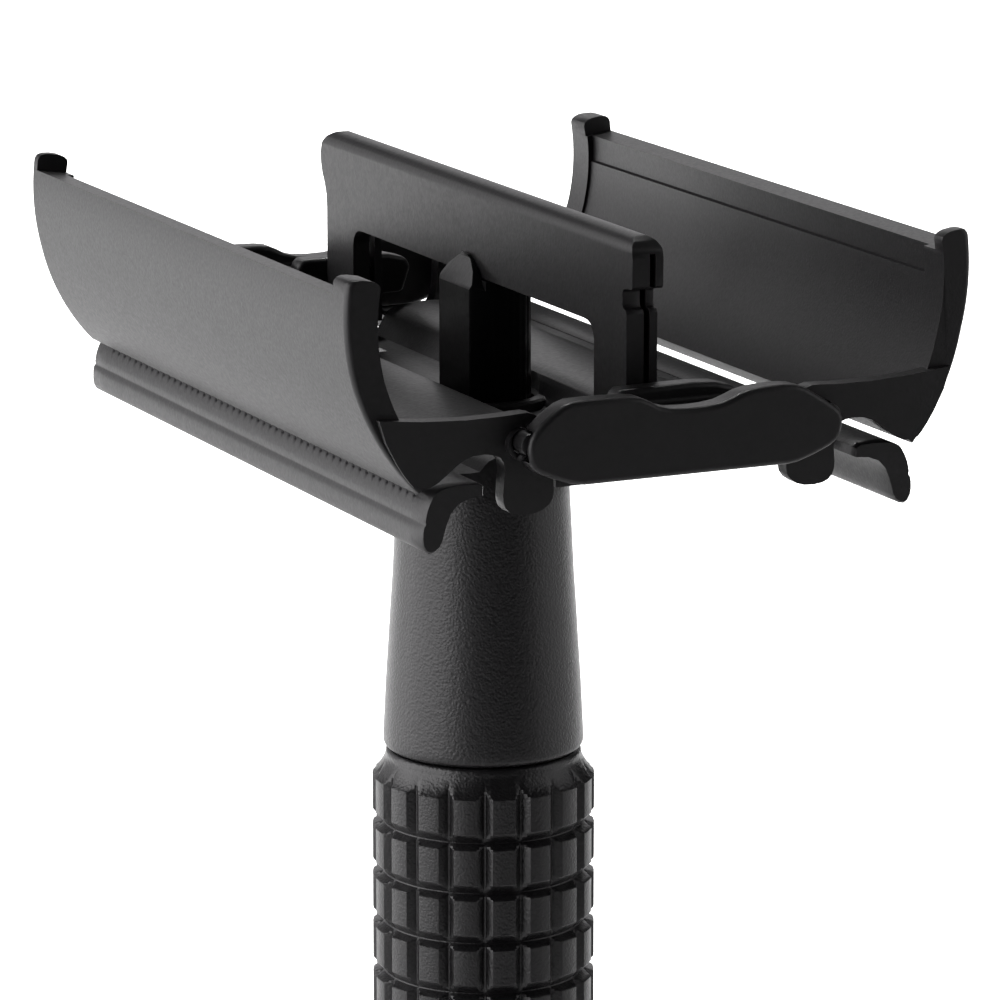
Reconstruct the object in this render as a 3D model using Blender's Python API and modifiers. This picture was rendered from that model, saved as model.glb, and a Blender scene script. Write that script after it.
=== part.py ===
"""Butterfly (twist to open) double-edge safety razor, modelled with its doors open.

World frame in metres: +Z runs up the handle, +X along the head, the origin is the
centre of the knob's flat foot.  Heights with the prefix "head" are measured from
HEAD_Z, the level of the open doors' lower edges.  When the knob closes the head the
carriage (post, spine, brackets) drops 6.1 mm and each door swings 87.7 degrees.
"""

import math

import bmesh
import bpy
from mathutils import Matrix, Vector

MM = 0.001

# ---------------------------------------------------------------- levels
HEAD_Z = 98.0            # lower edges of the open doors above the foot
SEGMENTS = 24            # sides of the turned parts

# ---------------------------------------------------------------- guard plate
BED_HALF_X = 18.2        # bed between the guard bars
BAR_HALF_X = 21.2        # guard bars run past the bed
BAR_INNER_Y = 9.9        # where the free ends of the bars begin
SLOT_START_X = 14.1      # slots that the spine's legs slide through
SLOT_HALF_Y = 1.0
TOOTH_HALF_X = 19.7      # toothed length of each bar
POST_HOLE_R = 2.6
HUB_R = 3.55
HUB_BOTTOM = -6.0

# Section of one half of the guard plate, (y, height over HEAD_Z).
BED_TOP = [(1.9, -0.35), (3.6, 0.80), (4.3, 0.96), (5.3, 1.0), (6.8, 0.90), (8.2, 0.58),
           (8.7, 0.06), (9.5, 0.06), (10.0, 0.24), (11.2, 0.26), (12.3, 0.14), (12.75, -0.12),
           (13.05, -0.75), (13.12, -1.6), (13.08, -2.35), (12.9, -2.75), (12.6, -2.9)]
BED_UNDER = [(12.25, -2.75), (12.0, -2.3), (11.85, -1.7), (11.45, -1.25), (10.8, -1.05),
             (9.0, -0.85), (7.6, -0.6), (6.5, -0.5), (4.6, -0.6), (3.4, -0.85), (1.5, -0.95)]

# ---------------------------------------------------------------- handle
NECK_TOP = -2.0
NECK_PROFILE = [(4.24, NECK_TOP), (4.44, -5.3), (4.66, -9.6), (4.89, -13.0), (5.10, -16.8),
                (5.17, -18.35), (5.05, -18.66), (4.80, -18.90), (4.64, -18.98), (4.64, -19.1)]
SPIGOT_R = 3.9
SPIGOT_END = -24.0
BARREL_TOP = -19.16
RING_TOP = -20.2
RING_COUNT = 22
RING_PITCH = 2.66
LAND_R = 5.74
GROOVE_R = 5.24
LAND_HEIGHT = 1.86
TOP_FLANK = 0.30         # height of the flank above each land
BARREL_BORE = 3.4
END_RING_TOP = RING_TOP - RING_COUNT * RING_PITCH - 0.08
END_RING_BOTTOM = END_RING_TOP - 1.5

# ---------------------------------------------------------------- knob
KNOB_TOP = END_RING_BOTTOM - 0.38
KNOB_RINGS = 5
KNOB_COLLAR_R = 5.05
CAP_HEIGHT = 1.5
FOOT_R = 4.5
ROD_R = 1.7
SCREW_R = 1.42
SCREW_TOP = -2.9
SCREW_BOTTOM = -25.7
SCREW_PITCH = 1.6

# ---------------------------------------------------------------- carriage
POST_R = 2.4
POST_TOP = 7.05
POST_BOTTOM = -9.0
POST_BORE_R = 1.6
POST_BORE_TOP = 3.5
FORK_FLOOR = 5.9
FORK_HALF_Y = 0.91
SPINE_HALF_Y = 0.83
SPINE_HALF_X = 18.4
SPINE_TOP = 10.75
SPINE_FOOT = 0.9
WINDOW_HALF_X = 14.4
WINDOW_TOP = 6.0
BRACKET_IN_X = 21.6
BRACKET_OUT_X = 22.9
BRACKET_OUTLINE = [(1.4, 3.3), (2.4, 3.6), (3.7, 3.92), (5.3, 3.96), (6.2, 3.72), (8.1, 2.6),
                   (8.3, 2.0), (8.15, 1.05), (6.0, 0.03)]
TONGUE_IN_X = 18.45
TONGUE_HALF_Y = 2.3

# ---------------------------------------------------------------- doors
PIVOT_Y = 7.95
PIVOT_Z = 2.1
PIN_R = 0.55
PIN_HOLE_R = 0.63
ARC_Y = 4.4              # centre of the doors' curved section when open
ARC_Z = 8.19
DOOR_R = 12.0
SHELL_IN_R = 11.1
LIP_IN_R = 11.0
CHEEK_IN_R = 10.2
ARC_TOP = 6.0
ARC_BOTTOM = -43.0
HORN_TOP = 10.2
CHEEK_X = 18.6
HORN_IN_X = 19.2
DOOR_TOP_X = 20.4
DOOR_BOTTOM_X = 21.2
EAR_IN_X = 20.25
EAR_OUT_X = 20.95
EAR_OUTLINE = [(6.75, 2.3), (6.95, 3.05), (7.6, 3.38), (8.8, 3.32), (10.8, 3.30), (13.0, 3.42),
               (15.2, 3.65), (14.85, 2.55), (14.3, 1.5), (13.65, 0.55), (13.25, 0.24),
               (12.6, 0.22), (11.7, 0.80), (10.9, 1.42), (9.8, 1.58), (9.0, 1.35), (8.75, 0.75),
               (8.85, -0.5), (8.75, -1.1), (8.3, -1.45), (7.0, -1.5), (6.45, -1.25),
               (6.2, -0.8), (6.2, 0.1), (6.65, 0.7), (6.75, 1.5)]

# ---------------------------------------------------------------- materials
MATERIALS = {
    "satin_black_coat": ((0.030, 0.030, 0.031, 1.0), 0.0, 0.50),
    "black_plate": ((0.024, 0.024, 0.025, 1.0), 0.2, 0.42),
    "steel": ((0.42, 0.42, 0.43, 1.0), 1.0, 0.32),
    "brass": ((0.60, 0.44, 0.18, 1.0), 1.0, 0.35),
}


def clear_scene():
    """Remove whatever the scene starts with."""
    for item in list(bpy.data.objects):
        bpy.data.objects.remove(item, do_unlink=True)
    for group in list(bpy.data.collections):
        bpy.data.collections.remove(group)


def new_collection(name):
    """Make a collection under the scene's own."""
    group = bpy.data.collections.new(name)
    bpy.context.scene.collection.children.link(group)
    return group


def make_material(name, look):
    """A plain Principled material for one piece."""
    colour, metallic, roughness = MATERIALS[look]
    mat = bpy.data.materials.new(name)
    mat.use_nodes = True
    shader = mat.node_tree.nodes["Principled BSDF"]
    shader.inputs["Base Color"].default_value = colour
    shader.inputs["Metallic"].default_value = metallic
    shader.inputs["Roughness"].default_value = roughness
    mat.diffuse_color = colour
    return mat


def head(z):
    """Height over the foot of a level given over HEAD_Z."""
    return HEAD_Z + z


def finish(obj, group, look, origin=(0.0, 0.0, 0.0), smooth=0.0):
    """Give an object its origin (millimetres), collection, shading and material."""
    shift = Vector(origin) * MM
    mesh = obj.data
    mesh.transform(Matrix.Translation(-shift) @ obj.matrix_world)
    obj.matrix_world = Matrix.Translation(shift)
    for owner in list(obj.users_collection):
        owner.objects.unlink(obj)
    group.objects.link(obj)
    if smooth:
        mesh.shade_smooth()
        mesh.set_sharp_from_angle(angle=math.radians(smooth))
    if look:
        mesh.materials.clear()
        mesh.materials.append(make_material(obj.name + "_material", look))
    else:
        obj.hide_render = True
        obj.display_type = "WIRE"
    return obj


def extrude_outline(name, outline, low, high, turn, group, look, origin=(0, 0, 0), smooth=0.0):
    """A flat filled outline, extruded from low to high along the turned frame's normal."""
    curve = bpy.data.curves.new(name + "_outline", "CURVE")
    curve.dimensions = "2D"
    curve.fill_mode = "BOTH"
    curve.extrude = abs(high - low) * 0.5 * MM
    spline = curve.splines.new("POLY")
    spline.points.add(len(outline) - 1)
    for point, (u, v) in zip(spline.points, outline):
        point.co = (u * MM, v * MM, 0.0, 1.0)
    spline.use_cyclic_u = True
    guide = bpy.data.objects.new(name + "_guide", curve)
    bpy.context.scene.collection.objects.link(guide)
    guide.matrix_world = turn @ Matrix.Translation((0.0, 0.0, (low + high) * 0.5 * MM))
    bpy.context.view_layer.update()
    evaluated = guide.evaluated_get(bpy.context.evaluated_depsgraph_get())
    mesh = bpy.data.meshes.new_from_object(evaluated)
    bm = bmesh.new()
    bm.from_mesh(mesh)
    bmesh.ops.remove_doubles(bm, verts=bm.verts, dist=0.000001)
    bmesh.ops.recalc_face_normals(bm, faces=bm.faces)
    bm.to_mesh(mesh)
    bm.free()
    obj = bpy.data.objects.new(name, mesh)
    obj.matrix_world = guide.matrix_world.copy()
    bpy.data.objects.remove(guide)
    bpy.data.curves.remove(curve)
    return finish(obj, group, look, origin, smooth)


# A (y, z) outline looks along X, an (x, z) outline looks along -Y.
ALONG_X = Matrix(((0, 0, 1, 0), (1, 0, 0, 0), (0, 1, 0, 0), (0, 0, 0, 1)))
ALONG_Y = Matrix(((1, 0, 0, 0), (0, 0, -1, 0), (0, 1, 0, 0), (0, 0, 0, 1)))


def prism_x(name, outline, x0, x1, group, look, origin=(0, 0, 0), smooth=0.0):
    """Extrude a (y, z) outline along X."""
    return extrude_outline(name, outline, x0, x1, ALONG_X, group, look, origin, smooth)


def prism_y(name, outline, half_y, group, look):
    """Extrude an (x, z) outline along Y, the same way to both sides."""
    return extrude_outline(name, outline, -half_y, half_y, ALONG_Y, group, look)


def turned(name, profile, group, look, segments=SEGMENTS, bored=False):
    """Screw an (r, z) profile about Z.  It runs down its outer side, top to bottom."""
    mesh = bpy.data.meshes.new(name)
    edges = [(i, i + 1) for i in range(len(profile) - 1)]
    if bored:
        edges.append((len(profile) - 1, 0))
    mesh.from_pydata([(r * MM, 0.0, z * MM) for r, z in profile], edges, [])
    obj = bpy.data.objects.new(name, mesh)
    screw = obj.modifiers.new("turn", "SCREW")
    screw.axis = "Z"
    screw.angle = math.radians(360.0)
    screw.steps = segments
    screw.render_steps = segments
    screw.use_merge_vertices = True
    screw.merge_threshold = 0.000001
    screw.use_smooth_shade = bool(look)
    return finish(obj, group, look)


def solid_profile(profile):
    """Close a profile onto the axis at its top and its bottom."""
    return [(0.0, profile[0][1])] + profile + [(0.0, profile[-1][1])]


def box(name, low, high, group, look=None):
    """A box between two corners."""
    size = [(b - a) * MM for a, b in zip(low, high)]
    centre = [(a + b) * 0.5 * MM for a, b in zip(low, high)]
    bm = bmesh.new()
    place = Matrix.Translation(centre) @ Matrix.Diagonal((size[0], size[1], size[2], 1.0))
    bmesh.ops.create_cube(bm, size=1.0, matrix=place)
    mesh = bpy.data.meshes.new(name)
    bm.to_mesh(mesh)
    bm.free()
    return finish(bpy.data.objects.new(name, mesh), group, look)


def rod_x(name, y, z, radius, x0, x1, group, look, segments=16):
    """A round bar along X."""
    bm = bmesh.new()
    place = Matrix.Translation(((x0 + x1) * 0.5 * MM, y * MM, z * MM))
    place = place @ Matrix.Rotation(math.radians(90.0), 4, "Y")
    bmesh.ops.create_cone(bm, cap_ends=True, segments=segments, radius1=radius * MM,
                          radius2=radius * MM, depth=abs(x1 - x0) * MM, matrix=place)
    mesh = bpy.data.meshes.new(name)
    bm.to_mesh(mesh)
    bm.free()
    return finish(bpy.data.objects.new(name, mesh), group, look, smooth=40.0 if look else 0.0)


def combine(target, tool, operation):
    """Add an exact boolean of the tool to the target."""
    mod = target.modifiers.new(operation.lower() + "_" + tool.name, "BOOLEAN")
    mod.operation = operation
    mod.solver = "EXACT"
    mod.object = tool
    tool.hide_render = True
    tool.display_type = "WIRE"


def round_edges(obj, width, segments=2, angle=40.0):
    """Small rounded edges."""
    mod = obj.modifiers.new("edges", "BEVEL")
    mod.width = width * MM
    mod.segments = segments
    mod.limit_method = "ANGLE"
    mod.angle_limit = math.radians(angle)
    mod.harden_normals = False


def build_guard_plate(parts, cutters):
    """Bed, central trench, guard bars and the short hub under the middle."""
    right = BED_TOP + BED_UNDER
    left = [(-y, z) for y, z in reversed(right)]
    outline = [(y, head(z)) for y, z in right + left]
    plate = prism_x("guard_plate", outline, -BAR_HALF_X, BAR_HALF_X, parts, "satin_black_coat",
                    smooth=30.0)
    hub = turned("hub_block", solid_profile([(HUB_R, head(-0.6)), (HUB_R, head(HUB_BOTTOM))]),
                 cutters, None)
    combine(plate, hub, "UNION")
    for end, sign in (("front", 1), ("rear", -1)):
        x0, x1 = sorted((sign * BED_HALF_X, sign * (BAR_HALF_X + 1)))
        clear = box("bed_end_" + end, (x0, -BAR_INNER_Y, head(-4)), (x1, BAR_INNER_Y, head(3)), cutters)
        combine(plate, clear, "DIFFERENCE")
        x0, x1 = sorted((sign * SLOT_START_X, sign * (BED_HALF_X + 1)))
        slot = box("leg_slot_" + end, (x0, -SLOT_HALF_Y, head(-4)), (x1, SLOT_HALF_Y, head(3)), cutters)
        combine(plate, slot, "DIFFERENCE")
        x0, x1 = sorted((sign * TOOTH_HALF_X, sign * (BAR_HALF_X + 1)))
        for side, y in (("right", 1), ("left", -1)):
            y0, y1 = sorted((y * (BAR_INNER_Y - 0.2), y * 14.0))
            low = box("bar_end_%s_%s" % (end, side), (x0, y0, head(-0.02)), (x1, y1, head(2)), cutters)
            combine(plate, low, "DIFFERENCE")
    hole = turned("post_hole", solid_profile([(POST_HOLE_R, head(2)), (POST_HOLE_R, head(-8))]),
                  cutters, None)
    combine(plate, hole, "DIFFERENCE")


def ringed_profile(top, count):
    """Outer (r, z) points of a run of knurled rings, from the top down."""
    points = []
    for k in range(count):
        z = top - k * RING_PITCH
        if k:
            points.append((GROOVE_R, head(z + TOP_FLANK)))
        points.append((LAND_R, head(z)))
        points.append((LAND_R, head(z - LAND_HEIGHT)))
    return points


def build_handle(parts):
    """Neck, ringed barrel, guide bushes and the ring that ends the barrel."""
    neck = [(r, head(z)) for r, z in NECK_PROFILE]
    neck += [(SPIGOT_R, head(-19.12)), (SPIGOT_R, head(SPIGOT_END)), (BARREL_BORE, head(SPIGOT_END)),
             (BARREL_BORE, head(HUB_BOTTOM - 0.2)), (HUB_R + 0.08, head(HUB_BOTTOM - 0.2)),
             (HUB_R + 0.08, head(NECK_TOP))]
    turned("neck_collar", neck, parts, "satin_black_coat", bored=True)

    barrel = [(4.80, head(BARREL_TOP)), (5.30, head(BARREL_TOP - 0.50))]
    barrel += ringed_profile(RING_TOP, RING_COUNT)
    bottom = RING_TOP - RING_COUNT * RING_PITCH
    barrel += [(5.30, head(bottom + 0.45)), (5.30, head(bottom)), (BARREL_BORE + 0.05, head(bottom)),
               (BARREL_BORE + 0.05, head(SPIGOT_END - 0.1)), (SPIGOT_R + 0.07, head(SPIGOT_END - 0.1)),
               (SPIGOT_R + 0.07, head(BARREL_TOP))]
    turned("grip_barrel", barrel, parts, "satin_black_coat", bored=True)

    tube = [(3.35, head(-6.35)), (3.35, head(-16.0)), (POST_R + 0.1, head(-16.0)),
            (POST_R + 0.1, head(-6.35))]
    turned("upper_guide_bush", tube, parts, "brass", bored=True)
    z = END_RING_TOP
    tube = [(3.35, head(z + 3.1)), (3.35, head(z + 0.15)), (ROD_R + 0.1, head(z + 0.15)),
            (ROD_R + 0.1, head(z + 3.1))]
    turned("lower_guide_bush", tube, parts, "brass", bored=True)
    ring = [(5.20, head(END_RING_TOP)), (5.35, head(END_RING_TOP - 0.2)),
            (5.35, head(END_RING_BOTTOM + 0.2)), (5.15, head(END_RING_BOTTOM)),
            (ROD_R + 0.15, head(END_RING_BOTTOM)), (ROD_R + 0.15, head(END_RING_TOP))]
    turned("barrel_end_ring", ring, parts, "satin_black_coat", bored=True)


def build_knob(parts):
    """Everything that turns with the knob."""
    top = KNOB_TOP
    rings_top = top - 1.6
    bottom = rings_top - KNOB_RINGS * RING_PITCH
    foot = -HEAD_Z
    cap_top = foot + CAP_HEIGHT
    profile = [(KNOB_COLLAR_R - 0.25, head(top)), (KNOB_COLLAR_R, head(top - 0.25)),
               (KNOB_COLLAR_R, head(top - 1.1)), (5.35, head(rings_top + 0.2))]
    profile += ringed_profile(rings_top, KNOB_RINGS)
    profile += [(5.20, head(bottom + 0.42)), (5.20, head(cap_top + 0.08)),
                (ROD_R + 0.05, head(cap_top + 0.08)), (ROD_R + 0.05, head(top))]
    turned("twist_knob", profile, parts, "satin_black_coat", bored=True)

    cap = [(5.05, head(cap_top)), (5.10, head(foot + 0.6)), (4.95, head(foot + 0.25)),
           (FOOT_R, head(foot))]
    turned("knob_end_cap", solid_profile(cap), parts, "satin_black_coat")

    rod = [(ROD_R - 0.2, head(-25.8)), (ROD_R, head(-26.0)), (ROD_R, head(cap_top + 0.1))]
    turned("drive_rod", solid_profile(rod), parts, "steel", segments=16)

    crests = int((SCREW_TOP - 0.7 - SCREW_BOTTOM) / SCREW_PITCH)
    screw = [(SCREW_R - 0.3, head(SCREW_TOP))]
    for k in range(crests, -1, -1):
        z = SCREW_BOTTOM + k * SCREW_PITCH
        screw += [(SCREW_R - 0.22, head(z + 1.0)), (SCREW_R, head(z + 0.65)),
                  (SCREW_R, head(z + 0.35)), (SCREW_R - 0.22, head(z))]
    turned("drive_screw", solid_profile(screw), parts, "brass", segments=12)

    washer = [(4.2, head(top + 0.28)), (4.2, head(top + 0.08)), (ROD_R + 0.1, head(top + 0.08)),
              (ROD_R + 0.1, head(top + 0.28))]
    turned("thrust_washer", washer, parts, "steel", bored=True)
    z = END_RING_TOP + 3.2
    clip = [(2.6, head(z + 0.6)), (2.6, head(z)), (ROD_R + 0.05, head(z)), (ROD_R + 0.05, head(z + 0.6))]
    turned("snap_ring", clip, parts, "steel", bored=True, segments=16)


def build_post(parts, cutters):
    """Round post with a fork that grips the spine's bar, bored for the screw."""
    outline = solid_profile([(POST_R, head(POST_TOP)), (POST_R, head(POST_BOTTOM))])
    post = turned("lift_post", outline, parts, "black_plate", segments=32)
    slot = box("fork_slot", (-4, -FORK_HALF_Y, head(FORK_FLOOR)), (4, FORK_HALF_Y, head(POST_TOP + 1)),
               cutters)
    combine(post, slot, "DIFFERENCE")
    for side, sign in (("right", 1), ("left", -1)):
        outline = [(sign * 2.46, head(5.65)), (sign * 1.30, head(POST_TOP + 0.1)),
                   (sign * 1.30, head(POST_TOP + 1)), (sign * 4, head(POST_TOP + 1)),
                   (sign * 4, head(5.65))]
        combine(post, prism_x("prong_slope_" + side, outline, -4, 4, cutters, None), "DIFFERENCE")
    bore = turned("post_bore", solid_profile([(POST_BORE_R, head(POST_BORE_TOP)),
                                              (POST_BORE_R, head(POST_BOTTOM - 1))]),
                  cutters, None, segments=16)
    combine(post, bore, "DIFFERENCE")


def build_spine(parts):
    """Folded plate with a window and two legs, its ends notched."""
    sx = SPINE_HALF_X
    half = [(WINDOW_HALF_X, SPINE_FOOT), (sx, SPINE_FOOT), (sx, 7.6), (sx - 0.45, 7.7),
            (sx - 0.45, 8.2), (sx, 8.3), (sx, 9.8), (sx - 0.25, 10.45), (sx - 0.9, SPINE_TOP)]
    inner = [(WINDOW_HALF_X - 0.6, WINDOW_TOP), (WINDOW_HALF_X - 0.15, WINDOW_TOP - 0.2),
             (WINDOW_HALF_X, WINDOW_TOP - 0.7)]
    outline = half + [(-x, z) for x, z in reversed(half)]
    outline += [(-x, z) for x, z in reversed(inner)] + inner
    outline = [(x, head(z)) for x, z in outline]
    spine = prism_y("center_spine", outline, SPINE_HALF_Y, parts, "black_plate")
    round_edges(spine, 0.16, segments=1, angle=50.0)


def build_brackets(parts, cutters):
    """End plates that carry the doors, each with a tongue up to the spine's leg."""
    right = BRACKET_OUTLINE
    outline = right + [(-y, z) for y, z in reversed(right)]
    outline = [(y, head(z)) for y, z in outline]
    for end, sign in (("front", 1), ("rear", -1)):
        x0, x1 = sorted((sign * BRACKET_IN_X, sign * BRACKET_OUT_X))
        plate = prism_x("end_bracket_" + end, outline, x0, x1, parts, "satin_black_coat")
        round_edges(plate, 0.22, segments=1, angle=50.0)
        x0, x1 = sorted((sign * TONGUE_IN_X, sign * 21.9))
        tongue = box("tongue_" + end, (x0, -TONGUE_HALF_Y, head(0.6)), (x1, TONGUE_HALF_Y, head(3.15)),
                     cutters)
        combine(plate, tongue, "UNION")
        x0, x1 = sorted((sign * TONGUE_IN_X, sign * 21.2))
        step = box("tongue_step_" + end, (x0, 0.1 - TONGUE_HALF_Y, head(1.5)),
                   (x1, TONGUE_HALF_Y - 0.1, head(3.75)), cutters)
        combine(plate, step, "UNION")
        for side, y in (("right", 1), ("left", -1)):
            x0, x1 = sorted((sign * 21.3, sign * 22.42))
            socket = rod_x("socket_%s_%s" % (end, side), y * PIVOT_Y, head(PIVOT_Z), PIN_R + 0.06,
                           x0, x1, cutters, None)
            combine(plate, socket, "DIFFERENCE")
            x0, x1 = sorted((sign * 20.15, sign * 22.36))
            rod_x("hinge_pin_%s_%s" % (end, side), y * PIVOT_Y, head(PIVOT_Z), PIN_R, x0, x1,
                  parts, "steel")


def arc_points(radius, start, end, side, steps):
    """Points along the open door's section, angles in degrees from the horizontal."""
    points = []
    for k in range(steps + 1):
        a = math.radians(start + (end - start) * k / steps)
        points.append((side * (ARC_Y + radius * math.cos(a)), head(ARC_Z + radius * math.sin(a))))
    return points


def build_door(name, side, parts, cutters):
    """Curved shell with thick end cheeks, horns above them and ears that carry the hinge."""
    section = arc_points(DOOR_R, HORN_TOP, ARC_BOTTOM, side, 11)
    section += arc_points(CHEEK_IN_R, ARC_BOTTOM, HORN_TOP, side, 11)
    origin = (0.0, side * PIVOT_Y, head(PIVOT_Z))
    door = prism_x(name, section, -DOOR_BOTTOM_X, DOOR_BOTTOM_X, parts, "satin_black_coat", origin,
                   smooth=25.0)

    hollow = arc_points(LIP_IN_R, 30.0, -1.4, side, 5) + arc_points(SHELL_IN_R, -1.9, -60.0, side, 12)
    hollow += arc_points(8.5, -60.0, 30.0, side, 10)
    combine(door, prism_x("hollow_" + name, hollow, -CHEEK_X, CHEEK_X, cutters, None), "DIFFERENCE")
    gap = arc_points(13.5, 30.0, ARC_TOP, side, 3) + arc_points(9.5, ARC_TOP, 30.0, side, 3)
    combine(door, prism_x("horn_gap_" + name, gap, -HORN_IN_X, HORN_IN_X, cutters, None), "DIFFERENCE")

    flare = head(ARC_Z - DOOR_R * math.sin(math.radians(14.0)))
    foot = head(ARC_Z + DOOR_R * math.sin(math.radians(ARC_BOTTOM)) - 0.5)
    for end, sign in (("front", 1), ("rear", -1)):
        wedge = [(sign * DOOR_TOP_X, head(12.0)), (sign * DOOR_TOP_X, flare),
                 (sign * (DOOR_BOTTOM_X + 0.05), foot), (sign * 23.0, foot), (sign * 23.0, head(12.0))]
        combine(door, prism_y("door_end_%s_%s" % (name, end), wedge, 20.0, cutters, None), "DIFFERENCE")
        ear = [(side * y, head(z)) for y, z in EAR_OUTLINE]
        x0, x1 = sorted((sign * EAR_IN_X, sign * EAR_OUT_X))
        plate = prism_x("ear_%s_%s" % (name, end), ear, x0, x1, cutters, None)
        combine(door, plate, "UNION")
        x0, x1 = sorted((sign * (EAR_IN_X - 1), sign * (EAR_OUT_X + 1)))
        hole = rod_x("pin_hole_%s_%s" % (name, end), side * PIVOT_Y, head(PIVOT_Z), PIN_HOLE_R,
                     x0, x1, cutters, None)
        combine(door, hole, "DIFFERENCE")


def main():
    """Build every piece in its open position."""
    clear_scene()
    parts = new_collection("butterfly_safety_razor")
    cutters = new_collection("cutters")
    cutters.hide_render = True
    build_guard_plate(parts, cutters)
    build_handle(parts)
    build_knob(parts)
    build_post(parts, cutters)
    build_spine(parts)
    build_brackets(parts, cutters)
    build_door("door_left", -1, parts, cutters)
    build_door("door_right", 1, parts, cutters)


main()
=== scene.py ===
"""Looks of a butterfly (twist to open) safety razor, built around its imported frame.

Sizes below are millimetres.  Heights on the head are measured from HEAD, the level of
the open doors' lower edges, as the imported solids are.
"""

import math

import bmesh
import bpy
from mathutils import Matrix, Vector


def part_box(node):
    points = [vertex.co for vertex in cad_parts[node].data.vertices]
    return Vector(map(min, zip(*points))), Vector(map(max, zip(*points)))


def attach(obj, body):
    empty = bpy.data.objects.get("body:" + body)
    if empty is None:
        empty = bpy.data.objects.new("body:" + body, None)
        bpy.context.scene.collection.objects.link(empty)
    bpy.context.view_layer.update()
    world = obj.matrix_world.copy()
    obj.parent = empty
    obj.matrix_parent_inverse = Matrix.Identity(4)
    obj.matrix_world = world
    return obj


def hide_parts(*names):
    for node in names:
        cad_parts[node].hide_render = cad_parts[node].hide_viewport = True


MM = 0.001

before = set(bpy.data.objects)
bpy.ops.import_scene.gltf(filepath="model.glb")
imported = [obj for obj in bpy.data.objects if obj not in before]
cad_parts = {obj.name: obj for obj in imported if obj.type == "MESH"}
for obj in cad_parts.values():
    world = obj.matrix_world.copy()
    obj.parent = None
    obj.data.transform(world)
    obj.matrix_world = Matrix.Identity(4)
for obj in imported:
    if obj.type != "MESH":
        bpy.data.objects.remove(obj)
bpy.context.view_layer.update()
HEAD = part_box("center_spine")[1][2] / MM - 10.75


# ---------------------------------------------------------------- materials

CLOUD = 0.12        # share by which a coat's colour drifts


def node(tree, kind, **values):
    """Add a node, setting attributes or input sockets by name."""
    item = tree.nodes.new(kind)
    for key, value in values.items():
        name = key.replace("_", " ")
        if name in item.inputs:
            item.inputs[name].default_value = value
        else:
            setattr(item, key, value)
    return item


def coated(name, colour, rough, grain, height, specular=0.5):
    """Powder coat: a pebbled skin of the given grain (mm), cloudy in colour and gloss."""
    mat = bpy.data.materials.new(name)
    mat.use_nodes = True
    tree = mat.node_tree
    shader = tree.nodes["Principled BSDF"]
    shader.inputs["Specular IOR Level"].default_value = specular
    where = node(tree, "ShaderNodeTexCoord").outputs["Object"]

    cloud = node(tree, "ShaderNodeTexNoise", Scale=900.0, Detail=4.0, Roughness=0.6)
    fine = node(tree, "ShaderNodeTexNoise", Scale=0.5 / (grain * MM), Detail=3.0, Roughness=0.6)
    cells = node(tree, "ShaderNodeTexVoronoi", Scale=0.8 / (grain * MM))
    cells.feature = "SMOOTH_F1"
    for item in (cloud, fine, cells):
        tree.links.new(where, item.inputs["Vector"])

    tint = node(tree, "ShaderNodeValToRGB")
    low, high = tint.color_ramp.elements
    low.position, high.position = 0.3, 0.72
    low.color = [c * (1.0 - CLOUD) for c in colour] + [1.0]
    high.color = [c * (1.0 + CLOUD) for c in colour] + [1.0]
    tree.links.new(cloud.outputs["Fac"], tint.inputs["Fac"])
    tree.links.new(tint.outputs["Color"], shader.inputs["Base Color"])

    gloss = node(tree, "ShaderNodeMapRange")
    gloss.inputs["From Min"].default_value = 0.3
    gloss.inputs["From Max"].default_value = 0.7
    gloss.inputs["To Min"].default_value = rough - 0.04
    gloss.inputs["To Max"].default_value = rough + 0.05
    tree.links.new(fine.outputs["Fac"], gloss.inputs["Value"])
    tree.links.new(gloss.outputs["Result"], shader.inputs["Roughness"])

    pebble = node(tree, "ShaderNodeBump", Strength=0.6, Distance=height * MM)
    tree.links.new(fine.outputs["Fac"], pebble.inputs["Height"])
    skin = node(tree, "ShaderNodeBump", Strength=1.0, Distance=height * MM)
    skin.invert = True
    tree.links.new(cells.outputs["Distance"], skin.inputs["Height"])
    tree.links.new(pebble.outputs["Normal"], skin.inputs["Normal"])
    tree.links.new(skin.outputs["Normal"], shader.inputs["Normal"])
    return mat


def turned_metal(name, colour, rough):
    """Bare metal with fine rings left by the lathe tool."""
    mat = bpy.data.materials.new(name)
    mat.use_nodes = True
    tree = mat.node_tree
    shader = tree.nodes["Principled BSDF"]
    shader.inputs["Metallic"].default_value = 1.0
    where = node(tree, "ShaderNodeTexCoord").outputs["Object"]
    rings = node(tree, "ShaderNodeTexWave", Scale=2600.0, Distortion=1.5, Detail=2.0)
    rings.bands_direction = "Z"
    stain = node(tree, "ShaderNodeTexNoise", Scale=420.0, Detail=4.0)
    tree.links.new(where, rings.inputs["Vector"])
    tree.links.new(where, stain.inputs["Vector"])
    tint = node(tree, "ShaderNodeValToRGB")
    low, high = tint.color_ramp.elements
    low.color = [c * 0.72 for c in colour] + [1.0]
    high.color = list(colour) + [1.0]
    tree.links.new(stain.outputs["Fac"], tint.inputs["Fac"])
    tree.links.new(tint.outputs["Color"], shader.inputs["Base Color"])
    gloss = node(tree, "ShaderNodeMapRange")
    gloss.inputs["To Min"].default_value = rough - 0.05
    gloss.inputs["To Max"].default_value = rough + 0.12
    tree.links.new(stain.outputs["Fac"], gloss.inputs["Value"])
    tree.links.new(gloss.outputs["Result"], shader.inputs["Roughness"])
    bump = node(tree, "ShaderNodeBump", Strength=0.35, Distance=0.00001)
    tree.links.new(rings.outputs["Fac"], bump.inputs["Height"])
    tree.links.new(bump.outputs["Normal"], shader.inputs["Normal"])
    return mat


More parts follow.
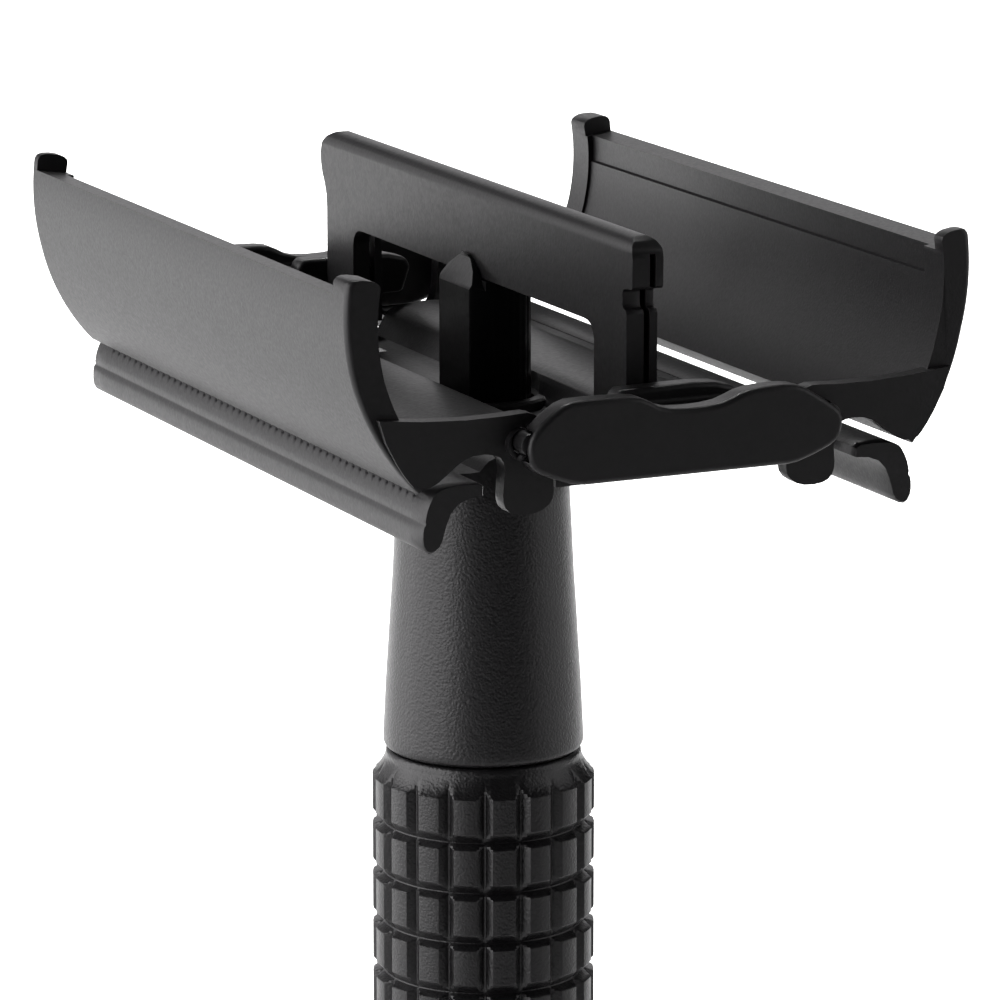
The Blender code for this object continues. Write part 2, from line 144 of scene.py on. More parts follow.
HANDLE_COAT = coated("handle_powder_coat", (0.0060, 0.0056, 0.0063), 0.35, 0.10, 0.020,
                      specular=0.6)
GRIP_COAT = coated("grip_powder_coat", (0.0062, 0.0058, 0.0065), 0.35, 0.10, 0.018,
                    specular=0.6)
DOOR_COAT = coated("door_satin_coat", (0.0060, 0.0056, 0.0063), 0.42, 0.10, 0.004)
BED_COAT = coated("bed_satin_coat", (0.0085, 0.0080, 0.0089), 0.42, 0.12, 0.006)
PLATE_COAT = coated("spine_smooth_coat", (0.0060, 0.0056, 0.0063), 0.40, 0.12, 0.004)
# Painted shade: the post's coat is darker and less specular than the other coats, standing in for
# the shade the left door casts on the post.
POST_SHADE_COAT = coated("post_painted_shade_coat", (0.0040, 0.0038, 0.0042), 0.34, 0.16, 0.003, specular=0.12)
# Painted highlight: a lighter copy of the post's coat for its faces that tilt up toward the
# lights, where the sloped facet catches light.
FACET_HIGHLIGHT_COAT = coated("post_painted_highlight_facet", (0.0120, 0.0115, 0.0124), 0.42, 0.12, 0.004)
STEEL = turned_metal("plain_steel", (0.40, 0.40, 0.41), 0.30)
BRASS = turned_metal("plain_brass", (0.58, 0.43, 0.19), 0.32)


# ---------------------------------------------------------------- mesh helpers

def place(x, y, z):
    """Head millimetres to metres."""
    return Vector((x * MM, y * MM, (HEAD + z) * MM))


def make(name, verts, faces):
    """An object from head millimetres, its faces turned outward."""
    mesh = bpy.data.meshes.new(name)
    mesh.from_pydata([place(*v) for v in verts], [], faces)
    bm = bmesh.new()
    bm.from_mesh(mesh)
    bmesh.ops.recalc_face_normals(bm, faces=bm.faces)
    bm.to_mesh(mesh)
    bm.free()
    obj = bpy.data.objects.new(name, mesh)
    bpy.context.scene.collection.objects.link(obj)
    return obj


def ring_grid(name, rows):
    """A tube from rings of equal length, closed on its last and first ring."""
    count = len(rows[0])
    verts = [v for row in rows for v in row]
    faces = []
    for j in range(len(rows)):
        k = (j + 1) % len(rows)
        for i in range(count):
            m = (i + 1) % count
            faces.append((j * count + i, j * count + m, k * count + m, k * count + i))
    return make(name, verts, faces)


def stack(name, rows):
    """A solid from rings of equal length with its first and last ring filled."""
    count = len(rows[0])
    verts = [v for row in rows for v in row]
    last = (len(rows) - 1) * count
    faces = [tuple(range(count)), tuple(reversed([last + i for i in range(count)]))]
    for j in range(len(rows) - 1):
        for i in range(count):
            m = (i + 1) % count
            k = j + 1
            faces.append((j * count + i, j * count + m, k * count + m, k * count + i))
    return make(name, verts, faces)


def prism_x(name, outline, x0, x1):
    """A (y, z) outline extruded along X."""
    return stack(name, [[(x0, y, z) for y, z in outline], [(x1, y, z) for y, z in outline]])


def prism_y(name, outline, y0, y1):
    """An (x, z) outline extruded along Y."""
    return stack(name, [[(x, y0, z) for x, z in outline], [(x, y1, z) for x, z in outline]])


def box(name, low, high):
    """A box between two corners."""
    outline = [(low[1], low[2]), (high[1], low[2]), (high[1], high[2]), (low[1], high[2])]
    return prism_x(name, outline, low[0], high[0])


def circle(radius, z, count=96):
    """A ring of points about the handle's axis."""
    step = 2.0 * math.pi / count
    return [(radius * math.cos(i * step), radius * math.sin(i * step), z) for i in range(count)]


def lathe(name, profile, count=96, bored=False):
    """Turn an (r, z) profile about the handle's axis."""
    rows = [circle(r, z, count) for r, z in profile]
    return ring_grid(name, rows) if bored else stack(name, rows)


def rod_x(name, y, z, radius, x0, x1, count=24):
    """A round bar along X."""
    step = 2.0 * math.pi / count
    outline = [(y + radius * math.cos(i * step), z + radius * math.sin(i * step))
               for i in range(count)]
    return prism_x(name, outline, x0, x1)


def applied(obj):
    """Make the object's modifiers part of its mesh."""
    bpy.context.view_layer.update()
    depsgraph = bpy.context.evaluated_depsgraph_get()
    result = bpy.data.meshes.new_from_object(obj.evaluated_get(depsgraph))
    obj.modifiers.clear()
    obj.data = result
    return obj


def combine(obj, tool, operation="DIFFERENCE"):
    """Boolean a tool into the object and remove the tool."""
    mod = obj.modifiers.new("cut", "BOOLEAN")
    mod.operation, mod.solver, mod.object = operation, "EXACT", tool
    applied(obj)
    bpy.data.objects.remove(tool)
    return obj


def soften(obj, width, segments=3, angle=32.0, clamp=True):
    """Rounded edges, with the flats kept flat in the shading."""
    bm = bmesh.new()
    bm.from_mesh(obj.data)
    bmesh.ops.remove_doubles(bm, verts=bm.verts, dist=0.000002)
    bmesh.ops.dissolve_limit(bm, angle_limit=math.radians(0.4), verts=bm.verts, edges=bm.edges)
    bm.to_mesh(obj.data)
    bm.free()
    bevel = obj.modifiers.new("edges", "BEVEL")
    bevel.width = width * MM
    bevel.segments = segments
    bevel.limit_method = "ANGLE"
    bevel.angle_limit = math.radians(angle)
    bevel.use_clamp_overlap = clamp
    return obj


def shade(obj, angle=38.0, weighted=True):
    """Smooth shading, sharp only over the given angle."""
    applied(obj)
    obj.data.shade_smooth()
    obj.data.set_sharp_from_angle(angle=math.radians(angle))
    if weighted:
        mod = obj.modifiers.new("normals", "WEIGHTED_NORMAL")
        mod.keep_sharp = True
        mod.weight = 60
    return obj


def dress(obj, material, body, slot, *nodes):
    """Give a finished piece its material, its body and the solids it stands for."""
    obj.data.materials.clear()
    obj.data.materials.append(material)
    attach(obj, body)
    if nodes:
        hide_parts(*nodes)
    return obj


def lerp(a, b, t):
    """Linear step between two numbers."""
    return a + (b - a) * t


# ---------------------------------------------------------------- guard plate

BED_HALF_X = 18.2
BAR_HALF_X = 21.2
TOOTH_HALF_X = 19.6
TOOTH_COUNT = 50


def bed_outline():
    """Section of the bed: trench, crowns and channels."""
    half = [(0.9, -0.72), (1.75, -0.70), (2.05, -0.60), (2.35, -0.15), (2.65, 0.36), (2.85, 0.62),
            (3.2, 0.80), (3.6, 0.90), (4.2, 0.97),
            (4.8, 1.0), (5.5, 1.0), (6.3, 0.95), (7.1, 0.85), (7.8, 0.70), (8.25, 0.52),
            (8.5, 0.28), (8.7, 0.06), (9.2, 0.04), (10.1, 0.10), (10.1, -0.40), (9.2, -0.50),
            (8.6, -0.45), (8.0, -0.05), (7.0, 0.20), (5.5, 0.40), (4.3, 0.36), (3.6, 0.10),
            (3.2, -0.35), (2.7, -0.80), (2.1, -0.93), (1.2, -0.95)]
    return half + [(-y, z) for y, z in reversed(half)]


def build_bed():
    """Middle of the guard plate, with its post hole, rims and leg slots."""
    bed = prism_x("guard_bed", bed_outline(), -BED_HALF_X, BED_HALF_X)
    combine(bed, lathe("hub", [(3.55, -0.6), (3.55, -5.9)], 64), "UNION")
    rim = [(3.5, -0.7), (3.5, -0.32), (3.36, -0.20), (3.0, -0.20)]
    combine(bed, lathe("rim", rim, 64), "UNION")
    combine(bed, lathe("sink", [(2.86, 2.0), (2.86, -0.28), (2.62, -0.46), (2.62, -8.0)], 64))
    for sign in (1, -1):
        for y in (2.7, -6.0):
            x0, x1 = sorted((sign * 18.0, sign * 20.9))
            flap = [(y, -0.40), (y + 3.3, -0.40), (y + 3.3, 0.35), (y, 0.35)]
            combine(bed, prism_x("flap", flap, x0, x1), "UNION")
    for sign in (1, -1):
        x0, x1 = sorted((sign * 14.1, sign * 19.0))
        combine(bed, box("slot", (x0, -1.0, -4.0), (x1, 1.0, 3.0)))
    soften(bed, 0.12, 2, 28.0)
    shade(bed, 40.0)
    return bed


def bar_section(high, low, end):
    """One guard bar's section, (y, z); high and low are the depths of its two rows of pits."""
    section = [(9.9, 0.12), (10.15, 0.26), (10.9, 0.30), (11.6, 0.26), (12.05, 0.16),
               (12.36, 0.01), (12.44, -0.07), (12.52 - high, -0.15 - high * 0.3), (12.57, -0.24),
               (12.60, -0.30), (12.63, -0.35), (12.67 - low, -0.43), (12.72, -0.51),
               (12.84, -0.82), (12.91, -1.10), (12.95, -1.36), (12.925, -1.45), (12.94, -1.54),
               (13.02, -1.64), (13.07, -1.90), (13.08, -2.25), (13.03, -2.56), (12.90, -2.80),
               (12.70, -2.92), (12.45, -2.88), (12.22, -2.70), (12.06, -2.42), (11.96, -2.05),
               (11.82, -1.60), (11.58, -1.05), (11.2, -0.64), (10.6, -0.40), (9.9, -0.34)]
    if end:
        section = [(lerp(y, 11.9, 0.04), lerp(z, -0.9, 0.05)) for y, z in section]
    return section


def build_bar(name, side):
    """A guard bar with its two staggered rows of pits, swept along X."""
    stations = [(-BAR_HALF_X, 0.0, 0.0, True), (-BAR_HALF_X + 0.12, 0.0, 0.0, False)]
    pitch = 2.0 * TOOTH_HALF_X / TOOTH_COUNT
    for k in range(TOOTH_COUNT):
        start = -TOOTH_HALF_X + k * pitch
        for at, high, low in ((0.05, 0, 0), (0.15, 1, 0), (0.33, 1, 0), (0.43, 0, 0),
                              (0.55, 0, 0), (0.65, 0, 1), (0.83, 0, 1), (0.93, 0, 0)):
            stations.append((start + at * pitch, high * 0.10, low * 0.10, False))
    stations += [(BAR_HALF_X - 0.12, 0.0, 0.0, False), (BAR_HALF_X, 0.0, 0.0, True)]
    rows = [[(x, side * y, z) for y, z in bar_section(high, low, end)]
            for x, high, low, end in stations]
    return shade(stack(name, rows), 40.0, weighted=False)


def build_guard():
    """The whole guard plate as one piece on the handle."""
    bed = build_bed()
    dress(bed, BED_COAT, "handle", "satin_black_coat", "guard_plate")
    for name, side in (("guard_bar_right", 1), ("guard_bar_left", -1)):
        dress(build_bar(name, side), BED_COAT, "handle", "satin_black_coat", "guard_plate")


# ---------------------------------------------------------------- handle

RING_TOP = -20.2
RING_PITCH = 2.66
RING_COUNT = 22
LAND_R = 5.74
LANDS = 18

# Heights down one ring from its land's top edge, with the depth there.
RING_ROWS = [(0.0, 0.025), (0.03, 0.0), (0.95, 0.0), (1.83, 0.0), (1.87, 0.025), (2.10, 0.24),
             (2.33, 0.47), (2.38, 0.50), (2.43, 0.47), (2.53, 0.27), (2.63, 0.06)]

# Angle off the middle of a flute, with the depth cut there.
FLUTE = [(0.0, 0.40), (0.5, 0.385), (1.2, 0.31), (2.9, 0.13), (4.1, 0.012), (4.5, 0.0)]


def flute_columns():
    """Angles around the grip with the flute's depth, in degrees and millimetres."""
    step = 360.0 / LANDS
    columns = []
    for k in range(LANDS):
        base = k * step
        columns += [(base + a, depth) for a, depth in FLUTE]
        columns.append((base + step * 0.5, 0.0))
        columns += [(base + step - a, depth) for a, depth in reversed(FLUTE[1:])]
    return columns


def knurled(name, head_rows, top, count, tail_rows, turn=0.0):
    """A run of fluted rings between plain rows of (z, radius, fluted)."""
    rows = list(head_rows)
    for k in range(count):
        for drop, depth in RING_ROWS:
            if k == count - 1 and drop > 2.0:
                break
            rows.append((top - k * RING_PITCH - drop, LAND_R - depth, True))
    rows += tail_rows
    columns = flute_columns()
    rings = []
    for z, radius, fluted in rows:
        ring = []
        for angle, depth in columns:
            r = min(radius, LAND_R - depth) if fluted and depth else radius
            a = math.radians(angle + turn)
            ring.append((r * math.cos(a), r * math.sin(a), z))
        rings.append(ring)
    return ring_grid(name, rings)


def build_handle():
    """Neck, grip and the ring below it.  Returns the height where the knob begins."""
    neck = [(4.16, -2.0), (4.24, -2.1), (4.44, -5.3), (4.55, -7.4), (4.66, -9.6), (4.78, -11.4),
            (4.89, -13.2), (5.02, -15.2), (5.12, -17.2), (5.16, -18.0), (5.17, -18.32),
            (5.16, -18.43), (5.12, -18.53), (5.05, -18.62), (4.96, -18.68), (4.86, -18.72),
            (4.78, -18.74), (4.3, -18.75), (4.3, -18.95), (3.9, -19.0), (3.9, -24.0),
            (3.4, -24.0), (3.4, -6.2), (3.62, -6.2), (3.62, -2.0)]
    collar = shade(lathe("neck", neck, 128, bored=True), 50.0, weighted=False)
    dress(collar, HANDLE_COAT, "handle", "satin_black_coat", "neck_collar")

    bottom = RING_TOP - RING_COUNT * RING_PITCH
    shoulder = [(-24.1, 3.97, False), (-19.02, 3.97, False), (-18.98, 4.36, False),
                (-18.80, 4.38, False), (-18.79, 4.80, False), (-18.80, 4.90, False),
                (-18.84, 4.97, False), (-18.90, 5.02, False), (-18.99, 5.055, False),
                (-19.12, 5.07, False), (-19.24, 5.08, False), (-19.34, 5.12, True),
                (-19.56, 5.22, True), (-19.84, 5.40, True),
                (-20.05, 5.56, True), (-20.16, 5.67, True)]
    tail = [(bottom + 0.46, 5.36, True), (bottom + 0.38, 5.30, False),
            (bottom + 0.05, 5.30, False), (bottom, 5.25, False), (bottom, 3.45, False),
            (-24.1, 3.45, False)]
    grip = shade(knurled("grip", shoulder, RING_TOP, RING_COUNT, tail, -4.4), 24.0, weighted=False)
    dress(grip, GRIP_COAT, "handle", "satin_black_coat", "grip_barrel")

    z = bottom - 0.08
    ring = [(5.16, z), (5.27, z - 0.04), (5.34, z - 0.14), (5.36, z - 0.3), (5.36, z - 1.2),
            (5.34, z - 1.36), (5.27, z - 1.46), (5.12, z - 1.5), (1.85, z - 1.5), (1.85, z)]
    dress(shade(lathe("grip_end_ring", ring, 96, bored=True), 40.0, weighted=False), HANDLE_COAT,
          "handle", "satin_black_coat", "barrel_end_ring")
    return z - 1.5


def build_knob(end):
    """Twist knob and its cap."""
    top = end - 0.38
    rings = top - 1.6
    count = 5
    bottom = rings - count * RING_PITCH
    foot = -HEAD
    cap = foot + 1.5
    head = [(cap + 0.08, 1.75, False), (top, 1.75, False), (top, 4.8, False),
            (top - 0.08, 4.95, False), (top - 0.22, 5.04, False), (top - 0.4, 5.06, False),
            (top - 1.02, 5.06, False), (top - 1.12, 5.10, False), (top - 1.24, 5.26, True),
            (top - 1.36, 5.42, True), (top - 1.48, 5.56, True)]
    tail = [(bottom + 0.46, 5.36, True), (bottom + 0.38, 5.20, False), (cap + 0.12, 5.20, False),
            (cap + 0.08, 5.14, False)]
    knob = shade(knurled("knob", head, rings, count, tail, -4.4), 24.0, weighted=False)
    dress(knob, GRIP_COAT, "knob", "satin_black_coat", "twist_knob")
    profile = [(4.95, cap), (5.06, cap - 0.06), (5.10, cap - 0.2), (5.10, foot + 0.75),
               (5.04, foot + 0.42), (4.88, foot + 0.18), (4.62, foot + 0.04), (4.45, foot)]
    cap_piece = shade(lathe("knob_foot", profile, 96), 40.0, weighted=False)
    dress(cap_piece, HANDLE_COAT, "knob", "satin_black_coat", "knob_end_cap")


# ---------------------------------------------------------------- carriage

HINGE_Y = 7.95
HINGE_Z = 2.1
SPINE_HALF_Y = 0.83


def build_post():
    """Lifting post with its forked top, milled flat on its left side."""
    count = 120
    rows = []
    for r, z in [(2.36, 7.05), (2.42, 6.95), (2.42, 0.3), (2.42, -8.9), (2.34, -9.0)]:
        ring = []
        for i in range(count):
            a = 2.0 * math.pi * i / count
            rib = 0.016 * math.cos(a * 30.0) if -0.25 < math.sin(a) and z < 6.99 else 0.0
            ring.append(((r + rib) * math.cos(a), (r + rib) * math.sin(a), z))
        rows.append(ring)
    post = stack("lifting_post", rows)
    combine(post, box("flat", (-4, -4, -0.6), (4, -1.62, 9.0)))
    combine(post, box("fork", (-4, -0.92, 5.92), (4, 0.92, 9.0)))
    for sign in (1, -1):
        slope = [(sign * 1.64, 5.45), (sign * 1.02, 6.9), (sign * 1.0, 8.0), (sign * 4, 8.0),
                 (sign * 4, 5.45)]
        combine(post, prism_x("slope", slope, -4, 4))
        arch = [(sign * 2.5, 5.3), (sign * 2.0, 5.6), (sign * 1.45, 6.35), (sign * 0.7, 6.85),
                (sign * 0.4, 6.95), (sign * 0.4, 8.0), (sign * 4, 8.0), (sign * 4, 5.3)]
        combine(post, prism_y("arch", arch, -4, -0.9))
    combine(post, lathe("bore", [(1.6, 3.5), (1.6, -10.0)], 32))
    soften(post, 0.07, 2, 50.0)
    shade(post, 40.0)
    dress(post, POST_SHADE_COAT, "carriage", "black_plate", "lift_post")
    # Faces on the fork's top that face up and toward -Y take the lighter coat, a painted highlight
    # on the sloped facet.
    post.data.materials.append(FACET_HIGHLIGHT_COAT)
    for face in post.data.polygons:
        if face.center.z > (HEAD + 5.3) * MM and face.normal.y < -0.3 and face.normal.z > 0.2:
            face.material_index = 1


def build_spine():
    """Folded sheet with a window and two legs."""
    arch = []
    for k in range(17):
        a = math.pi * k / 16.0
        arch.append((SPINE_HALF_Y * math.cos(a), 9.95 + 0.80 * math.sin(a)))
    section = [(SPINE_HALF_Y, 0.9)] + arch + [(-SPINE_HALF_Y, 0.9)]
    spine = prism_x("spine", section, -18.75, 18.75)
    half = [(13.3, 6.0), (13.7, 5.96), (14.05, 5.8), (14.3, 5.5), (14.4, 5.15), (14.4, -1.0)]
    window = [(-x, z) for x, z in reversed(half)] + half
    combine(spine, prism_y("window", window, -3, 3))
    near = [(17.9, -1.0), (17.9, 6.95), (17.8, 7.12), (17.55, 7.2), (17.45, 7.35), (17.45, 7.95),
            (17.55, 8.12), (17.9, 8.2), (18.4, 8.22), (18.5, 8.35), (18.52, 9.7), (18.42, 10.15),
            (18.15, 10.5), (17.75, 10.7), (17.2, 10.8), (17.2, 12.0), (20.0, 12.0), (20.0, -1.0)]
    far = [(-17.85, -1.0), (-17.85, 6.6), (-17.92, 7.3), (-18.15, 7.9), (-18.45, 8.4),
           (-18.62, 8.9), (-18.66, 9.5), (-18.5, 10.0), (-18.15, 10.4), (-17.6, 10.68),
           (-16.8, 10.79), (-16.8, 12.0), (-20.0, 12.0), (-20.0, -1.0)]
    combine(spine, prism_y("near_end", near, -3, 3))
    combine(spine, prism_y("far_end", far, -3, 3))
    combine(spine, box("fold", (-19.5, 0.10, 0.0), (19.5, 0.42, 9.9)))
    soften(spine, 0.10, 3, 30.0)
    shade(spine, 36.0)
    dress(spine, PLATE_COAT, "carriage", "black_plate", "center_spine")


def build_brackets():
    """End plates with their tongues."""
    right = [(0.0, 3.24), (1.0, 3.26), (1.8, 3.36), (2.4, 3.56), (2.9, 3.76), (3.5, 3.88),
             (4.2, 3.93), (5.1, 3.94), (5.7, 3.88), (6.2, 3.72), (6.7, 3.44), (7.3, 3.06),
             (7.9, 2.66), (8.2, 2.38), (8.34, 2.05), (8.33, 1.7), (8.25, 1.3), (8.05, 0.98),
             (7.7, 0.74), (7.1, 0.48), (6.5, 0.26), (5.9, 0.08), (5.4, 0.02), (2.0, 0.02)]
    left = [(-0.9, 3.30), (-1.5, 3.46), (-2.0, 3.74), (-2.5, 3.96), (-3.1, 4.05), (-4.0, 4.08),
            (-5.2, 4.10), (-6.1, 4.08), (-6.6, 3.92), (-7.1, 3.60), (-7.6, 3.22), (-8.0, 2.84),
            (-8.25, 2.44), (-8.34, 2.05), (-8.33, 1.7), (-8.25, 1.3), (-8.05, 0.98), (-7.7, 0.74),
            (-7.1, 0.48), (-6.5, 0.26), (-5.9, 0.08), (-5.4, 0.02), (-2.0, 0.02)]
    outline = right + list(reversed(left))
    for end, sign in (("front", 1), ("rear", -1)):
        x0, x1 = sorted((sign * 21.6, sign * 22.9))
        plate = prism_x("bracket_" + end, outline, x0, x1)
        x0, x1 = sorted((sign * 18.45, sign * 22.0))
        combine(plate, box("tongue", (x0, -2.3, 0.6), (x1, 2.3, 2.75)), "UNION")
        x0, x1 = sorted((sign * 18.45, sign * 19.7))
        ridge = [(-2.25, 1.5), (-2.25, 3.4), (-1.9, 3.7), (1.9, 3.74), (3.1, 3.66), (4.1, 3.4),
                 (4.4, 2.9), (3.9, 1.5)]
        combine(plate, prism_x("ridge", ridge, x0, x1), "UNION")
        x0, x1 = sorted((sign * 19.5, sign * 22.0))
        combine(plate, box("pocket_floor", (x0, -2.2, 1.5), (x1, 3.6, 2.85)), "UNION")
        for y in (HINGE_Y, -HINGE_Y):
            x0, x1 = sorted((sign * 21.0, sign * 22.42))
            combine(plate, rod_x("socket", y, HINGE_Z, 0.62, x0, x1))
        soften(plate, 0.27, 4, 40.0, clamp=False)
        shade(plate, 40.0)
        dress(plate, DOOR_COAT, "carriage", "satin_black_coat", "end_bracket_" + end)
        for side, y in (("left", -HINGE_Y), ("right", HINGE_Y)):
            place_name = end + "_" + side
            x0, x1 = sorted((sign * 20.15, sign * 22.36))
            pin = rod_x("pin_" + place_name, y, HINGE_Z, 0.55, x0, x1, 32)
            soften(pin, 0.12, 2, 40.0)
            dress(shade(pin, 40.0), PLATE_COAT, "carriage", "steel", "hinge_pin_" + place_name)


# ---------------------------------------------------------------- doors

ARC = (4.4, 8.19)       # centre of the doors' section, (y, z)
DOOR_R = 12.0
DOOR_FOOT = -43.0       # degrees, the section's lower edge
DOOR_CREST = 10.2       # degrees, the horns' tops
DOOR_GROW = 0.24        # the section opens by this toward its crest
DOOR_ROLL = 0.34        # outer edges rolled off at the ends
CHEEK_LEFT_R = 10.35
CHEEK_RIGHT_R = 10.45
HORN_LONG_X = 18.85
HORN_SHORT_X = 19.7


def arc(radius, start, end, side, steps=20, radius_end=None):
    """Points on the doors' section, degrees from the horizontal."""
    points = []
    for k in range(steps + 1):
        a = math.radians(lerp(start, end, k / steps))
        r = lerp(radius, radius if radius_end is None else radius_end, k / steps)
        points.append((side * (ARC[0] + r * math.cos(a)), ARC[1] + r * math.sin(a)))
    return points


def crest(radius, angle, side):
    """One point on the doors' section."""
    return arc(radius, angle, angle, side, 1)[0]


def ear_outline(side):
    """Plate at a door's end that carries the hinge eye and the stop."""
    points = [(6.75, 2.3), (6.80, 2.75), (6.98, 3.08), (7.25, 3.28), (7.6, 3.38), (8.2, 3.36),
              (8.8, 3.32), (10.8, 3.30), (13.0, 3.42), (15.2, 3.65), (14.85, 2.55), (14.3, 1.5),
              (13.95, 0.95), (13.65, 0.55), (13.45, 0.34), (13.2, 0.23), (12.9, 0.20),
              (12.6, 0.24), (12.2, 0.44), (11.7, 0.80), (11.3, 1.12), (10.9, 1.38),
              (10.4, 1.55), (9.8, 1.58), (9.4, 1.52), (9.0, 1.35), (8.82, 1.1), (8.75, 0.75),
              (8.8, 0.1), (8.85, -0.5),
              (8.82, -0.85), (8.72, -1.12), (8.5, -1.34), (8.2, -1.47), (7.7, -1.53), (7.2, -1.50),
              (6.8, -1.38), (6.45, -1.14), (6.25, -0.85), (6.2, -0.5), (6.22, 0.0), (6.4, 0.4),
              (6.6, 0.7), (6.7, 1.1), (6.75, 1.6)]
    return [(side * y, z) for y, z in points]


def door_end(z):
    """Where a door ends along X at a height: straight above, flared toward its lower edge."""
    flare = ARC[1] - DOOR_R * math.sin(math.radians(14.0))
    foot = ARC[1] - DOOR_R * math.sin(math.radians(-DOOR_FOOT))
    t = min(1.0, max(0.0, (flare - z) / (flare - foot)))
    return 20.5 + 0.55 * t


def build_door(name, side):
    """Curved shell, end cheeks, horns and ears, its outer edges rolled off at the ends.

    Both doors are one part, turned half a turn, with a long horn and a short one.
    """
    stations = [(0.0, DOOR_R - DOOR_ROLL)]
    for k in range(1, 7):
        a = math.radians(15.0 * k)
        stations.append((DOOR_ROLL * (1.0 - math.cos(a)),
                         DOOR_R - DOOR_ROLL * (1.0 - math.sin(a))))
    cheek = CHEEK_LEFT_R if side < 0 else CHEEK_RIGHT_R
    rows = []
    for sign in (-1, 1):
        for back, radius in (stations if sign < 0 else list(reversed(stations))):
            grow = DOOR_GROW + radius - DOOR_R
            inner = ((0.27, 9.3), (0.46, 9.9), (0.70, DOOR_CREST))
            outer = ((11.35, DOOR_CREST), (11.66, 9.98), (11.86, 9.55), (11.96, 8.9))
            section = (arc(DOOR_R + grow, 8.2, DOOR_FOOT, side, 26, 11.98 + grow * 0.3)
                       + arc(cheek + 0.4, DOOR_FOOT, 8.4, side, 26, cheek + 0.2)
                       + [crest(cheek + r, a, side) for r, a in inner]
                       + [crest(r + grow, a, side) for r, a in outer])
            rows.append([(sign * (door_end(z) - back), y, z) for y, z in section])
    door = stack(name + "_shell", rows)
    hollow = (arc(10.98, 30.0, -1.4, side, 8) + arc(10.84, -1.9, -60.0, side, 24, 11.05)
              + arc(8.5, -60.0, 30.0, side, 10))
    combine(door, prism_x("hollow", hollow, -18.6, 18.6))
    gap = arc(13.5, 30.0, 6.0, side, 3) + arc(9.5, 5.2, 30.0, side, 3)
    x0, x1 = sorted((-side * HORN_LONG_X, side * HORN_SHORT_X))
    combine(door, prism_x("horn_gap", gap, x0, x1))
    for sign in (1, -1):
        x0, x1 = sorted((sign * 20.2, sign * 21.08))
        combine(door, prism_x("ear", ear_outline(side), x0, x1), "UNION")
        boss = rod_x("boss", side * 8.0, 1.95, 0.76, *sorted((sign * 20.6, sign * 21.45)))
        combine(door, boss, "UNION")
        x0, x1 = sorted((sign * 19.2, sign * 22.3))
        combine(door, rod_x("eye", side * HINGE_Y, HINGE_Z, 0.63, x0, x1))
    soften(door, 0.13, 3, 34.0)
    shade(door, 36.0)
    dress(door, DOOR_COAT, name, "satin_black_coat", name)


# ---------------------------------------------------------------- studio

VIEW_AZIMUTH = math.radians(64.7)
VIEW_PITCH = math.radians(12.75)
VIEW_HEIGHT = 0.09214
VIEW_DISTANCE = 0.28788
VIEW_SHIFT = 0.00086
VIEW_LENS = 202.7
LIGHT_TINT = (1.0, 0.985, 1.0)
WHITE = (1.0, 1.0, 1.0, 1.0)


def area(name, place_at, target, size, power, tall=None):
    """A soft light panel that looks at a point."""
    data = bpy.data.lights.new(name, "AREA")
    data.shape = "RECTANGLE"
    data.size = size
    data.size_y = size if tall is None else tall
    data.energy = power
    data.color = LIGHT_TINT
    light = bpy.data.objects.new(name, data)
    light.location = place_at
    light.rotation_euler = (Vector(target) - Vector(place_at)).to_track_quat("-Z", "Y").to_euler()
    bpy.context.scene.collection.objects.link(light)


def seen_as(tree, seen, cast):
    """A strength that the view sees, with another one cast on everything else."""
    path = node(tree, "ShaderNodeLightPath")
    blend = tree.nodes.new("ShaderNodeMapRange")
    blend.inputs["To Min"].default_value = cast
    blend.inputs["To Max"].default_value = seen
    tree.links.new(path.outputs["Is Camera Ray"], blend.inputs["Value"])
    return blend.outputs["Result"]


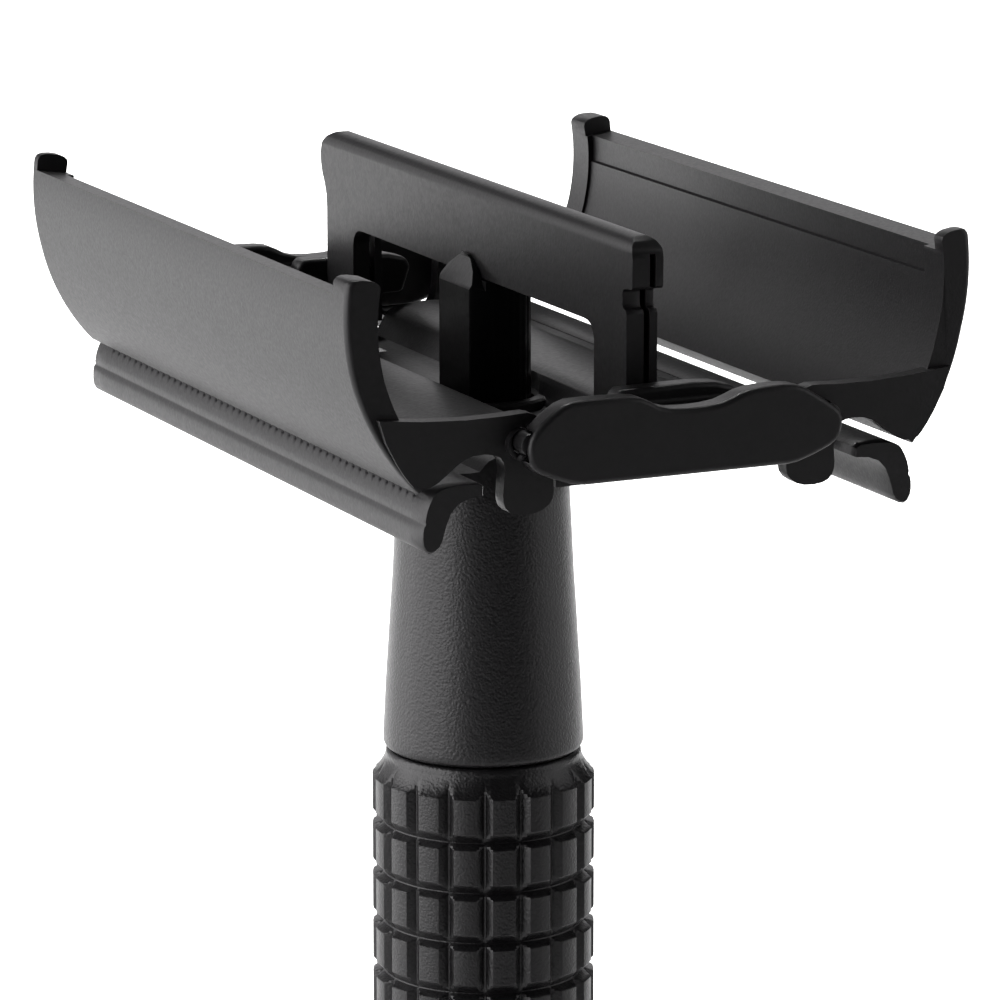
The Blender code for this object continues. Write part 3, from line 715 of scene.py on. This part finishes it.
def build_studio():
    """Pale floor lit from above behind the razor, soft boxes on its left, cards around it."""
    bpy.ops.mesh.primitive_plane_add(size=8.0, location=(0.0, 0.0, 0.0))
    floor = bpy.context.object
    floor.name = "floor"
    mat = bpy.data.materials.new("pale_floor")
    mat.use_nodes = True
    shader = mat.node_tree.nodes["Principled BSDF"]
    shader.inputs["Base Color"].default_value = (0.86, 0.86, 0.86, 1.0)
    shader.inputs["Roughness"].default_value = 0.8
    shader.inputs["Specular IOR Level"].default_value = 0.1
    shader.inputs["Emission Color"].default_value = WHITE
    mat.node_tree.links.new(seen_as(mat.node_tree, 0.62, 0.0), shader.inputs["Emission Strength"])
    floor.data.materials.append(mat)

    world = bpy.data.worlds.new("studio")
    world.use_nodes = True
    background = world.node_tree.nodes["Background"]
    background.inputs["Color"].default_value = WHITE
    world.node_tree.links.new(seen_as(world.node_tree, 0.75, 0.015),
                              background.inputs["Strength"])
    bpy.context.scene.world = world

    back = Vector((-math.sin(VIEW_AZIMUTH), math.cos(VIEW_AZIMUTH), 0.0))
    left = Vector((-math.cos(VIEW_AZIMUTH), -math.sin(VIEW_AZIMUTH), 0.0))
    up = Vector((0.0, 0.0, 1.0))
    middle = Vector((0.0, 0.0, 0.09))
    data = bpy.data.lights.new("floor_spot", "SPOT")
    data.energy = 150.0
    data.spot_size = math.radians(61.0)
    data.spot_blend = 0.2
    data.shadow_soft_size = 0.25
    spot = bpy.data.objects.new("floor_spot", data)
    spot.location = back * 0.74 + left * 0.10 + up * 1.2
    bpy.context.scene.collection.objects.link(spot)
    area("left_box", left * 0.40 - back * 0.20 + up * 0.12, up * 0.06 - back * 0.20, 0.80, 4.3,
         tall=0.60)
    area("left_back_box", left * 0.40 + back * 0.42 + up * 0.14, up * 0.10, 0.36, 0.26)
    area("back_card", back * 1.3 + up * 0.42, middle, 1.0, 3.0)
    area("right_card", -left * 0.5 + up * 0.22, middle, 0.5, 0.58)


def build_camera():
    """Camera at the viewing angle, a little above the head."""
    level = math.cos(VIEW_PITCH)
    back = Vector((math.sin(VIEW_AZIMUTH) * level, -math.cos(VIEW_AZIMUTH) * level,
                   math.sin(VIEW_PITCH)))
    right = Vector((math.cos(VIEW_AZIMUTH), math.sin(VIEW_AZIMUTH), 0.0))
    data = bpy.data.cameras.new("view")
    data.lens = VIEW_LENS
    data.sensor_width = 36.0
    data.clip_start = 0.01
    data.dof.use_dof = False
    camera = bpy.data.objects.new("view", data)
    camera.location = (Vector((0.0, 0.0, VIEW_HEIGHT)) + back * VIEW_DISTANCE
                       + right * VIEW_SHIFT)
    camera.rotation_euler = (-back).to_track_quat("-Z", "Y").to_euler()
    bpy.context.scene.collection.objects.link(camera)
    bpy.context.scene.camera = camera


def plain_nodes():
    """Materials for the solids that keep their own shape."""
    finishes = {"upper_guide_bush": BRASS, "lower_guide_bush": BRASS, "drive_screw": BRASS,
                "drive_rod": STEEL, "thrust_washer": STEEL, "snap_ring": STEEL}
    for name, material in finishes.items():
        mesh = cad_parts[name].data
        mesh.materials.clear()
        mesh.materials.append(material)
        mesh.shade_smooth()
        mesh.set_sharp_from_angle(angle=math.radians(30.0))


build_guard()
build_knob(build_handle())
build_post()
build_spine()
build_brackets()
build_door("door_left", -1)
build_door("door_right", 1)
plain_nodes()
build_studio()
build_camera()
bpy.context.scene.view_settings.view_transform = "Standard"
